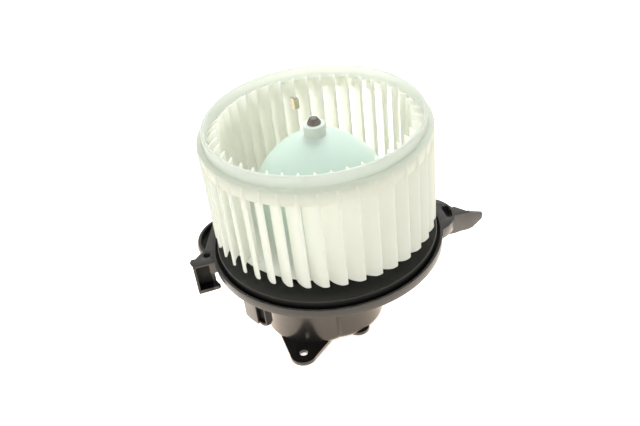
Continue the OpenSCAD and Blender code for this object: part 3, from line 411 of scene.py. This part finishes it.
def new_finish(name, colour, roughness, grain=(3000.0, 400.0), bump=0.05, metal=0.0, dust=0.0):
    """Material with grain, wipe marks and dust. Returns it, its tree, its shader and its colour node."""
    material = bpy.data.materials.new(name)
    material.use_nodes = True
    tree = material.node_tree
    shader = tree.nodes["Principled BSDF"]
    shader.inputs["Metallic"].default_value = metal
    grain_node = place_group(tree, grain_group, {"Scale": grain[0], "Coarse Scale": grain[1]})
    bump_node = tree.nodes.new("ShaderNodeBump")
    bump_node.inputs["Strength"].default_value = bump
    bump_node.inputs["Distance"].default_value = 0.1 * MM
    tree.links.new(grain_node.outputs["Height"], bump_node.inputs["Height"])
    tree.links.new(bump_node.outputs[0], shader.inputs["Normal"])
    wipe = place_group(tree, wipe_group, {"Low": roughness[0], "High": roughness[1]})
    tree.links.new(wipe.outputs["Roughness"], shader.inputs["Roughness"])
    mix = tree.nodes.new("ShaderNodeMix")
    mix.data_type = "RGBA"
    mix.inputs[6].default_value = (*colour, 1.0)
    mix.inputs[7].default_value = (0.45, 0.44, 0.42, 1.0)
    scale = tree.nodes.new("ShaderNodeMath")
    scale.operation = "MULTIPLY"
    scale.inputs[1].default_value = dust
    tree.links.new(wipe.outputs["Dust"], scale.inputs[0])
    tree.links.new(scale.outputs[0], mix.inputs["Factor"])
    tree.links.new(mix.outputs[2], shader.inputs["Base Color"])
    return material, tree, shader, mix


def height_mask(tree, low, high, axis="Z"):
    """Mask that rises from 0 to 1 between two places along an axis, in metres."""
    place = tree.nodes.new("ShaderNodeTexCoord")
    split = tree.nodes.new("ShaderNodeSeparateXYZ")
    tree.links.new(place.outputs["Object"], split.inputs[0])
    ramp = tree.nodes.new("ShaderNodeMapRange")
    ramp.inputs["From Min"].default_value = low
    ramp.inputs["From Max"].default_value = high
    tree.links.new(split.outputs[axis], ramp.inputs["Value"])
    return ramp.outputs["Result"]


def radius_mask(tree, low, high, top=1.0):
    """Mask that rises from 0 to top between two distances from the shaft axis, in metres."""
    place = tree.nodes.new("ShaderNodeTexCoord")
    flat = tree.nodes.new("ShaderNodeVectorMath")
    flat.operation = "MULTIPLY"
    flat.inputs[1].default_value = (1.0, 1.0, 0.0)
    tree.links.new(place.outputs["Object"], flat.inputs[0])
    size = tree.nodes.new("ShaderNodeVectorMath")
    size.operation = "LENGTH"
    tree.links.new(flat.outputs[0], size.inputs[0])
    ramp = tree.nodes.new("ShaderNodeMapRange")
    ramp.inputs["From Min"].default_value = low
    ramp.inputs["From Max"].default_value = high
    ramp.inputs["To Max"].default_value = top
    tree.links.new(size.outputs["Value"], ramp.inputs["Value"])
    return ramp.outputs["Result"]


def combine(tree, operation, first, second):
    """One Math node with two linked masks, whose result stays between 0 and 1."""
    node = tree.nodes.new("ShaderNodeMath")
    node.operation = operation
    node.use_clamp = True
    tree.links.new(first, node.inputs[0])
    tree.links.new(second, node.inputs[1])
    return node.outputs[0]


def tint_by(tree, mix, shader, mask, colour):
    """Blends the finish's colour towards another one where the mask is 1."""
    tint = tree.nodes.new("ShaderNodeMix")
    tint.data_type = "RGBA"
    tint.inputs[7].default_value = (*colour, 1.0)
    tree.links.new(mix.outputs[2], tint.inputs[6])
    tree.links.new(mask, tint.inputs["Factor"])
    tree.links.new(tint.outputs[2], shader.inputs["Base Color"])
    return tint


# %% [markdown]
# The wheel is natural polypropylene: milky and slightly green, and light shines through it.
# Subsurface scattering does that, and a share of rough transmission lets the blades show faintly
# through the top ring. The ring's colour is painted darker and greener from the top of the skirt up
# over the shoulder and lip, a painted shade that makes the lip look glassy. The hub dome is thin and
# has the dark motor behind it, so its colour is painted more aqua than the blades', as painted shade
# from the motor behind, except near the boss.

# %% Finishes of the wheel
def milky(name, colour, see_through, glow, glow_radius=3.0):
    """Translucent plastic: light scatters over glow_radius millimetres below the surface.

    The share glow of the light goes straight through the wall and comes out soft on its far side."""
    material, tree, shader, mix = new_finish(name, colour, (0.3, 0.38), grain=(900.0, 160.0), bump=0.02)
    shader.inputs["Subsurface Weight"].default_value = 0.5
    shader.inputs["Subsurface Radius"].default_value = (1.0, 1.0, 0.85)
    shader.inputs["Subsurface Scale"].default_value = glow_radius * MM
    shader.inputs["Transmission Weight"].default_value = see_through
    shader.inputs["IOR"].default_value = 1.45
    through = tree.nodes.new("ShaderNodeBsdfTranslucent")
    through.inputs["Color"].default_value = (0.96, 0.965, 0.94, 1.0)
    both = tree.nodes.new("ShaderNodeMixShader")
    both.inputs[0].default_value = glow
    tree.links.new(shader.outputs[0], both.inputs[1])
    tree.links.new(through.outputs[0], both.inputs[2])
    tree.links.new(both.outputs[0], tree.nodes["Material Output"].inputs[0])
    return material, tree, shader, mix


blade_finish, *_ = milky("milky_blades", (0.94, 0.95, 0.86), 0.15, 0.5)
ring_finish, ring_tree, ring_shader, ring_mix = milky("milky_ring", (0.94, 0.95, 0.87), 0.5, 0.35)
# Painted shade: the top of the ring is tinted darker and greener so the lip looks glassy.
tint_by(ring_tree, ring_mix, ring_shader, height_mask(ring_tree, 79.0 * MM, 86.0 * MM), (0.62, 0.68, 0.62))
hub_finish, hub_tree, hub_shader, hub_mix = milky("milky_hub", (0.92, 0.94, 0.88), 0.1, 0.25)
# Painted shade: the dome is tinted aqua above its foot, fading out over the boss, for the dark motor behind
# its thin wall.
aqua_painted_shade = combine(hub_tree, "MINIMUM", height_mask(hub_tree, 14.0 * MM, 34.0 * MM),
               radius_mask(hub_tree, 1.0 * MM, 12.0 * MM))
tint_by(hub_tree, hub_mix, hub_shader, aqua_painted_shade, (0.70, 0.86, 0.78))

# %% [markdown]
# The wheel is modelled from the same sizes as the CAD wheel, and the blade count and the blade
# angle were read off the photograph.

# %% Sizes of the wheel, in millimetres and degrees
WHEEL_R = 75.0
BLADE_IN_R = 61.5
BLADE_T = 1.8
BLADE_COUNT = 41
BLADE_CURVE_R = 16.0
BLADE_SWEEP = 10.3
BLADE_PHASE = -98.5
BLADE_TOP_RISE = 4.7
WHEEL_Z = 13.5
SHOULDER_Z = 85.3
SKIRT_Z = 75.0
RING_T = 1.8
LIP_R = 70.0
LIP_T = 2.2
LIP_Z = 93.3
RING_R = 75.25
HUB_WALL = 2.2
DOME_R = 46.3
DOME_TOP_Z = 80.7
DOME_SIDE = 2.04
DOME_CROWN = 1.45
BASE_RING_R = 67.0
BOSS_R = 7.0
BOSS_TOP_Z = 86.7
BORE_Z = 59.7
SLEEVE_R = 5.8
SHAFT_R = 3.04
SHAFT_END_R = 2.1
STEP_Z = 84.1
FLARE_R = BLADE_IN_R - DOME_R
FLARE_Z = WHEEL_Z + HUB_WALL + FLARE_R


# %% [markdown]
# The inlet ring has a skirt outside the blade tips, a flat shoulder and a raised lip that guides
# the air in. Its section is one closed outline with softened corners, spun round the shaft.

# %% Inlet ring
def ring_outline():
    """Corners of the ring's section from the skirt's lower inner edge round to its inside."""
    lip_in, lip_out = LIP_R - LIP_T / 2, LIP_R + LIP_T / 2
    web_z = SHOULDER_Z - RING_T
    corners = [(WHEEL_R - RING_T, SKIRT_Z), (WHEEL_R - 0.6, SKIRT_Z), (RING_R, SKIRT_Z + 6.0),
               (RING_R, SHOULDER_Z),
               (lip_out, SHOULDER_Z), (lip_out, LIP_Z), (lip_in, LIP_Z), (lip_in, web_z),
               (WHEEL_R - RING_T, web_z)]
    return soften(corners, [0.4, 0.4, 3.0, 1.1, 0.9, 1.05, 1.05, 0.5, 0.7])


inlet_ring = spun_piece("inlet_ring", ring_outline(), ring_finish, "rotor")
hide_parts("fan_wheel")


# %% [markdown]
# The hub is a dome that turns out into a flare and a flat base ring. The dome's side follows
# r = R cos(a)^(2/crown) and z = H sin(a)^(2/side): with both exponents at 2 it would be an ellipse,
# and the two numbers square up its side and sharpen its crown until it fits the photograph.

# %% Hub dome
def dome_curve(inset, angles):
    """Points of the dome's wall at the given angles, moved inwards by inset."""
    radius = (DOME_R - inset) * np.cos(angles) ** (2 / DOME_CROWN)
    height = FLARE_Z + (DOME_TOP_Z - FLARE_Z - inset) * np.sin(angles) ** (2 / DOME_SIDE)
    return np.stack([radius, height], axis=1)


def flare_curve(radius, angles):
    """Quarter circle between the dome's foot and the base ring, seen from outside the dome."""
    return np.stack([BLADE_IN_R - radius * np.cos(angles), FLARE_Z - radius * np.sin(angles)], axis=1)


def hub_outline():
    """Closed section of the hub: base ring, flare, dome, boss, bore, sleeve and inside wall."""
    quarter = np.linspace(0, np.pi / 2, 24)
    rise = np.linspace(0.02, 1, 60)
    outer_end = math.acos((BOSS_R / DOME_R) ** (DOME_CROWN / 2))
    inner_end = math.acos((SLEEVE_R / (DOME_R - HUB_WALL)) ** (DOME_CROWN / 2))
    ring_top = WHEEL_Z + HUB_WALL
    base = np.array([(BASE_RING_R - 0.5, WHEEL_Z), (BASE_RING_R - 0.1, WHEEL_Z + 0.2),
                     (BASE_RING_R, WHEEL_Z + 0.6), (BASE_RING_R, ring_top - 0.6),
                     (BASE_RING_R - 0.1, ring_top - 0.2), (BASE_RING_R - 0.5, ring_top)])
    outer_flare = flare_curve(FLARE_R, quarter[::-1])
    outer_dome = dome_curve(0.0, outer_end * rise)
    top = outer_dome[-1, 1]
    boss = np.array([(BOSS_R, top + 0.8), (BOSS_R, BOSS_TOP_Z - 0.6), (BOSS_R - 0.15, BOSS_TOP_Z - 0.2),
                     (BOSS_R - 0.6, BOSS_TOP_Z), (SHAFT_END_R + 0.3, BOSS_TOP_Z),
                     (SHAFT_END_R, BOSS_TOP_Z - 0.3), (SHAFT_END_R, STEP_Z), (SHAFT_R, STEP_Z),
                     (SHAFT_R, BORE_Z), (SLEEVE_R, BORE_Z)])
    inner_dome = dome_curve(HUB_WALL, (inner_end * rise)[::-1])
    inner_flare = flare_curve(FLARE_R + HUB_WALL, quarter)
    return np.vstack([base, outer_flare, outer_dome, boss, inner_dome, inner_flare])


hub_dome = spun_piece("hub_dome", hub_outline(), hub_finish, "rotor")
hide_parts("fan_wheel")


# %% [markdown]
# A blade is a curved wall: a short arc in plan, pulled straight up. It is worked out as one closed
# loop round the arc, at every height from the bottom edge to the top edge. Near its ends and near
# its bottom and top the wall thins to nothing along a quarter circle, which rounds all its edges.
# All blades are then one array: the same grid turned by a step of 360 / 41 degrees.

# %% Blades
def blade_arc():
    """Centre of the blade's arc, and the angles of its root and tip seen from that centre."""
    root = np.array([BLADE_IN_R, 0.0])
    sweep = math.radians(BLADE_SWEEP)
    tip = WHEEL_R * np.array([math.cos(sweep), math.sin(sweep)])
    chord = tip - root
    half = np.linalg.norm(chord) / 2
    side = np.array([-chord[1], chord[0]]) / (2 * half)
    centre = (root + tip) / 2 + side * math.sqrt(BLADE_CURVE_R ** 2 - half ** 2)
    root_angle = math.atan2(*(root - centre)[::-1])
    tip_angle = math.atan2(*(tip - centre)[::-1])
    return centre, root_angle, tip_angle


def round_end(distance, radius):
    """Share of the full thickness at a distance from an edge that is rounded with a radius."""
    near = np.clip(1 - distance / radius, 0, 1)
    return np.sqrt(1 - near ** 2)


def blade_grid(along=22):
    """Points (row, loop, xyz) of one blade, with its inner edge in the XZ plane."""
    centre, root_angle, tip_angle = blade_arc()
    share = (1 - np.cos(np.linspace(0, np.pi, along))) / 2
    angle = root_angle + share * (tip_angle - root_angle)
    length = BLADE_CURVE_R * (tip_angle - root_angle)
    half_t = BLADE_T / 2
    nose = round_end(np.minimum(share, 1 - share) * length, half_t)
    loop_angle = np.concatenate([angle, angle[::-1]])
    loop_offset = np.concatenate([nose, -nose[::-1]]) * half_t
    middle = centre + BLADE_CURVE_R * np.stack([np.cos(loop_angle), np.sin(loop_angle)], axis=1)
    radius = np.linalg.norm(middle, axis=1)
    out = np.clip((radius - BLADE_IN_R) / (WHEEL_R - BLADE_IN_R), 0, 1)
    bottom = WHEEL_Z + 1.5 * np.clip((out - 0.86) / 0.14, 0, 1) ** 2
    under_lip = np.clip((radius - BLADE_IN_R) / (LIP_R - BLADE_IN_R), 0, 1)
    top = SHOULDER_Z + BLADE_TOP_RISE - (BLADE_TOP_RISE + RING_T / 2) * under_lip
    edge = np.array([0.0, 0.05, 0.15, 0.35, 0.6, 0.9]) * half_t
    level = np.concatenate([edge, [4.0, 20.0, 40.0, 60.0], ])
    low_rows = bottom[None, :] + level[:, None]
    high_rows = top[None, :] - edge[::-1, None]
    height = np.vstack([low_rows, high_rows])
    thin = np.concatenate([round_end(level, 0.9 * half_t), round_end(edge[::-1], 0.9 * half_t)])
    reach = BLADE_CURVE_R + loop_offset[None, :] * thin[:, None]
    x = centre[0] + reach * np.cos(loop_angle)
    y = centre[1] + reach * np.sin(loop_angle)
    return np.stack([x, y, height], axis=-1)


def turned_copies(points, count, first_angle):
    """The same points turned round Z by equal steps: x' = x cos a - y sin a, y' = x sin a + y cos a."""
    angle = math.radians(first_angle) + np.arange(count) * 2 * np.pi / count
    cos, sin = np.cos(angle)[:, None], np.sin(angle)[:, None]
    x, y, z = points[:, 0], points[:, 1], points[:, 2]
    return np.stack([x * cos - y * sin, x * sin + y * cos, np.broadcast_to(z, (count, len(z)))], axis=-1)


one_blade = blade_grid()
rows, loop = one_blade.shape[:2]
all_blades = turned_copies(one_blade.reshape(-1, 3), BLADE_COUNT, BLADE_PHASE - BLADE_SWEEP)
one_set = grid_faces(rows, loop, False, True)
blade_faces = (one_set[None] + (np.arange(BLADE_COUNT) * rows * loop)[:, None, None]).reshape(-1, 4)
fan_blades = add_piece("fan_blades", all_blades, blade_faces, blade_finish, "rotor")
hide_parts("fan_wheel")

# %% [markdown]
# The housing is black filled plastic. Its broad face is moulded with a matt grain, and the rim
# band and the bowl come from polished steel, so they mirror the white paper. A clear coat weight
# of 1 on the band and 0 on the face makes that difference in one material. The seal groove and the
# hollow of the wiring bracket are painted nearly black as painted shade, and the hollow has its coat
# taken away, so it shows no reflection.

# %% Finishes of the housing
def black_moulding(name, colour, roughness, coat_roughness):
    """Black plastic whose coat shines everywhere but on the raised face of the flange."""
    material, tree, shader, mix = new_finish(
        name, colour, roughness, grain=(2600.0, 300.0), bump=0.12, dust=0.25)
    shader.inputs["Specular IOR Level"].default_value = 0.25
    shader.inputs["Coat Roughness"].default_value = coat_roughness
    shader.inputs["Coat IOR"].default_value = 1.5
    return material, tree, shader, mix


flange_finish, flange_tree, flange_shader, flange_mix = black_moulding(
    "black_flange", (0.027, 0.027, 0.025), (0.48, 0.6), 0.3)
above_groove = height_mask(flange_tree, 3.2 * MM, 3.4 * MM)
near_edge = radius_mask(flange_tree, 75.4 * MM, 75.6 * MM)
past_groove = radius_mask(flange_tree, 77.9 * MM, 78.0 * MM)
edge_line = combine(flange_tree, "MULTIPLY", near_edge, above_groove)
# Painted shade: the seal groove and the hollow of the wiring bracket get little light, so these masks tint
# them nearly black and take the coat off the hollow.
groove_shade = combine(flange_tree, "SUBTRACT", near_edge, past_groove)
groove_shade = combine(flange_tree, "SUBTRACT", groove_shade, above_groove)
bracket_hollow_shade = combine(flange_tree, "SUBTRACT", height_mask(flange_tree, -12.0 * MM, -10.5 * MM, "Y"),
                     height_mask(flange_tree, -84.2 * MM, -83.6 * MM, "X"))
bracket_hollow_shade = combine(flange_tree, "SUBTRACT", bracket_hollow_shade, height_mask(flange_tree, -4.4 * MM, -3.8 * MM, "Y"))
bracket_hollow_shade = combine(flange_tree, "SUBTRACT", bracket_hollow_shade, height_mask(flange_tree, -2.2 * MM, -1.6 * MM))
dark = combine(flange_tree, "MAXIMUM", groove_shade, bracket_hollow_shade)
shiny = combine(flange_tree, "MAXIMUM", edge_line, past_groove)
shiny = combine(flange_tree, "SUBTRACT", shiny, bracket_hollow_shade)
band_side = combine(flange_tree, "SUBTRACT", radius_mask(flange_tree, 79.7 * MM, 79.8 * MM, 0.4),
                    radius_mask(flange_tree, 80.2 * MM, 80.3 * MM, 0.4))
flange_tree.links.new(combine(flange_tree, "SUBTRACT", shiny, band_side),
                      flange_shader.inputs["Coat Weight"])
# Painted shade: nearly black colour in the groove and the bracket hollow.
tint_by(flange_tree, flange_mix, flange_shader, dark, (0.004, 0.004, 0.004))
bowl_finish, bowl_tree, bowl_shader, _ = black_moulding(
    "black_bowl", (0.012, 0.011, 0.010), (0.35, 0.45), 0.18)
bowl_shader.inputs["Coat Weight"].default_value = 1.0

# %% [markdown]
# The metal pieces are small. The retainer and the balance clip show in the photograph, and the
# motor's own metals only show from below or when it is taken apart, but they get real finishes too.

# %% Finishes of the metals and small parts
def metal(name, colour, roughness, grain=(2000.0, 200.0), bump=0.08):
    """Bare metal with a fine grain and wipe marks."""
    return new_finish(name, colour, roughness, grain=grain, bump=bump, metal=1.0)[0]


def plain(name, colour, roughness, grain=(2400.0, 260.0), bump=0.1):
    """Matt or satin surface that is no metal."""
    return new_finish(name, colour, roughness, grain=grain, bump=bump, dust=0.15)[0]


FINISHES = {
    "plated_steel": metal("plated_steel", (0.62, 0.62, 0.6), (0.32, 0.45)),
    "tinned_brass": metal("tinned_brass", (0.74, 0.66, 0.46), (0.3, 0.42)),
    "soft_rubber": plain("soft_rubber", (0.025, 0.025, 0.025), (0.7, 0.85)),
    "ferrite": plain("ferrite", (0.08, 0.08, 0.09), (0.5, 0.65), bump=0.2),
    "spring_steel": metal("spring_steel", (0.55, 0.55, 0.55), (0.25, 0.35)),
    "bronze": metal("bronze", (0.6, 0.42, 0.22), (0.45, 0.6), bump=0.25),
    "cap_plastic": plain("cap_plastic", (0.05, 0.05, 0.05), (0.45, 0.55)),
    "carbon": plain("carbon", (0.04, 0.04, 0.045), (0.55, 0.7), bump=0.25),
    "copper": metal("copper", (0.72, 0.33, 0.17), (0.3, 0.42)),
    "ground_steel": metal("ground_steel", (0.68, 0.68, 0.67), (0.2, 0.3)),
    "core_steel": metal("core_steel", (0.38, 0.38, 0.4), (0.4, 0.55)),
    "washer_plastic": plain("washer_plastic", (0.8, 0.8, 0.75), (0.4, 0.5)),
    "dark_spring_steel": metal("dark_spring_steel", (0.3, 0.27, 0.25), (0.42, 0.55)),
    "bronzed_clip": metal("bronzed_clip", (0.66, 0.58, 0.45), (0.35, 0.5)),
    "black_plastic": flange_finish,
    "black_gloss": bowl_finish,
    "milky_plastic": blade_finish,
}

for part in frame["record"]["subparts"]:
    mesh = nodes[part["node"]].data
    mesh.materials.clear()
    mesh.materials.append(FINISHES[part["material_slot"]])
print(len(FINISHES), "finishes")


# %% [markdown]
# A coil spring pushes each carbon brush inwards.

# %% Brush springs
SPRING_TURNS = 5
SPRING_R = 2.2
WIRE_R = 0.3


def coil_grid(low, high, height, side, around=10):
    """Points (row, loop, xyz) of a round wire on the helix y = r cos a, z = height + r sin a.

    The coil reaches from low to high along X, and side -1 turns it half way round the shaft."""
    length = 2 * math.pi * SPRING_R * SPRING_TURNS
    end = np.array([0.0, 0.02, 0.08, 0.18, 0.3]) / length
    share = np.concatenate([end, np.linspace(0.01, 0.99, 36 * SPRING_TURNS), 1 - end[::-1]])
    turn = 2 * np.pi * SPRING_TURNS * share[:, None]
    wire = WIRE_R * round_end(np.minimum(share, 1 - share) * length, WIRE_R)[:, None]
    section = np.linspace(0, 2 * np.pi, around, endpoint=False)[None, :]
    radius = SPRING_R + wire * np.cos(section)
    x = low + WIRE_R + share[:, None] * (high - low - 2 * WIRE_R) + wire * np.sin(section)
    return np.stack([side * x, side * radius * np.cos(turn), height + radius * np.sin(turn)], axis=-1)


for side, label in ((1, "right"), (-1, "left")):
    near, far = (np.array(corner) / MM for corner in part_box("brush_spring_" + label))
    inner, outer = sorted((side * near[0], side * far[0]))
    middle_z = (near[2] + far[2]) / 2
    coil = coil_grid(inner, outer, middle_z, side)
    coil_spring = add_piece("coil_spring_" + label, coil, grid_faces(*coil.shape[:2], False, True),
                            FINISHES["spring_steel"], "housing")
    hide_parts("brush_spring_" + label)
    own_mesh(coil_spring)

# %% [markdown]
# The CAD meshes are loose triangles with sharp edges. Modifiers finish them without touching the
# mesh itself: Weld joins the triangles, Bevel rounds the edges of the flange and the bowl by a
# fraction of a millimetre, as a mould does, and a small node group then makes the faces smooth
# wherever the angle is low.

# %% Rounded edges on the CAD pieces
def new_smooth_group(limit_degrees):
    """Geometry node group: smooth faces, with edges sharper than the limit left sharp."""
    group = bpy.data.node_groups.new("smooth_low_angles", "GeometryNodeTree")
    group.interface.new_socket("Geometry", in_out="INPUT", socket_type="NodeSocketGeometry")
    group.interface.new_socket("Geometry", in_out="OUTPUT", socket_type="NodeSocketGeometry")
    inside = group.nodes.new("NodeGroupInput")
    outside = group.nodes.new("NodeGroupOutput")
    faces = group.nodes.new("GeometryNodeSetShadeSmooth")
    faces.domain = "FACE"
    angle = group.nodes.new("GeometryNodeInputMeshEdgeAngle")
    sharp = group.nodes.new("FunctionNodeCompare")
    sharp.operation = "GREATER_THAN"
    sharp.inputs[1].default_value = math.radians(limit_degrees)
    edges = group.nodes.new("GeometryNodeSetShadeSmooth")
    edges.domain = "EDGE"
    edges.inputs["Shade Smooth"].default_value = False
    group.links.new(inside.outputs[0], faces.inputs["Geometry"])
    group.links.new(faces.outputs[0], edges.inputs["Geometry"])
    group.links.new(angle.outputs["Unsigned Angle"], sharp.inputs[0])
    group.links.new(sharp.outputs[0], edges.inputs["Selection"])
    group.links.new(edges.outputs[0], outside.inputs[0])
    return group


smooth_group = new_smooth_group(32.0)


def finish_edges(node, width, segments=2):
    """Weld, bevel where a width is given, and smooth a CAD node with modifiers only."""
    piece = nodes[node]
    weld = piece.modifiers.new("join_triangles", "WELD")
    weld.merge_threshold = 0.001 * MM
    if width:
        bevel = piece.modifiers.new("round_edges", "BEVEL")
        bevel.width = width * MM
        bevel.segments = segments
        bevel.limit_method = "ANGLE"
        bevel.angle_limit = math.radians(40.0)
        bevel.use_clamp_overlap = True
        bevel.miter_outer = "MITER_ARC"
    smooth = piece.modifiers.new("smooth_low_angles", "NODES")
    smooth.node_group = smooth_group


EDGE_WIDTH = {"flange_housing": 0.3, "motor_bowl": 0.35}
for part in frame["record"]["subparts"]:
    if part["node"] != "fan_wheel":
        finish_edges(part["node"], EDGE_WIDTH.get(part["node"], 0.0))
